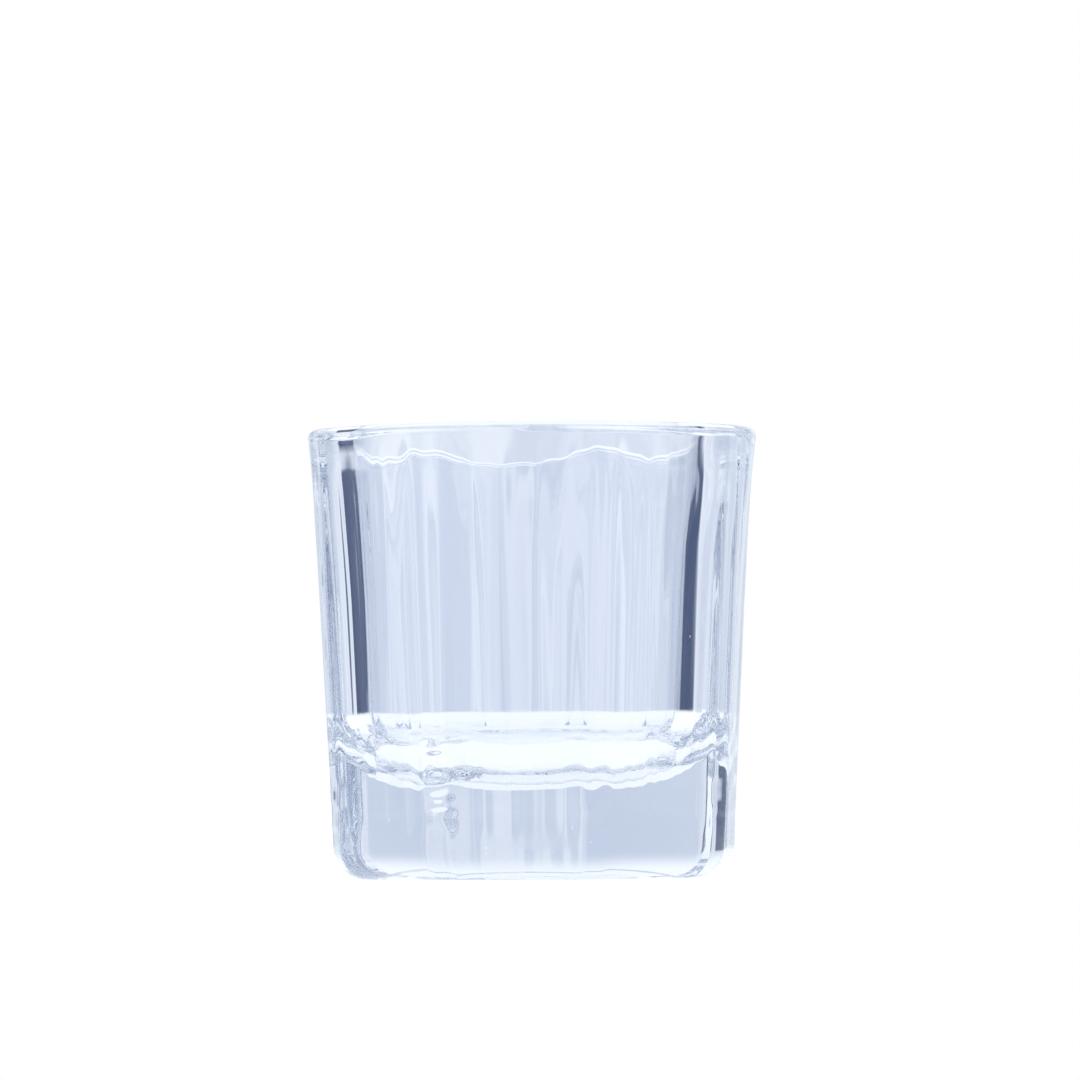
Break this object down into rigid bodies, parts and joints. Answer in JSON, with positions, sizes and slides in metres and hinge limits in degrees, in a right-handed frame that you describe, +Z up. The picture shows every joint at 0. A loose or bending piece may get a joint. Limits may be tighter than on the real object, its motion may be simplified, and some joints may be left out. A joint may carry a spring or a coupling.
{
  "type": "dappen dish",
  "caption": "Small thick glass cup with eight leaning flats outside, a round lip, a deep round cavity with a bowl-shaped floor and a heavy solid base, for mixing nail liquid and powder.",
  "frame": {"origin": "middle of the bottom face, on the surface that the dish stands on", "axes": "+Z up along the dish's axis of symmetry; one flat of the outside faces -Y and one faces +X"},
  "size_m": [0.03, 0.03, 0.0299],
  "materials": {
    "clear_glass": "clear, fire-polished pressed glass with faint draw lines"
  },
  "bodies": {
    "root": {"glass_dish": "clear_glass"}
  },
  "joints": []
}
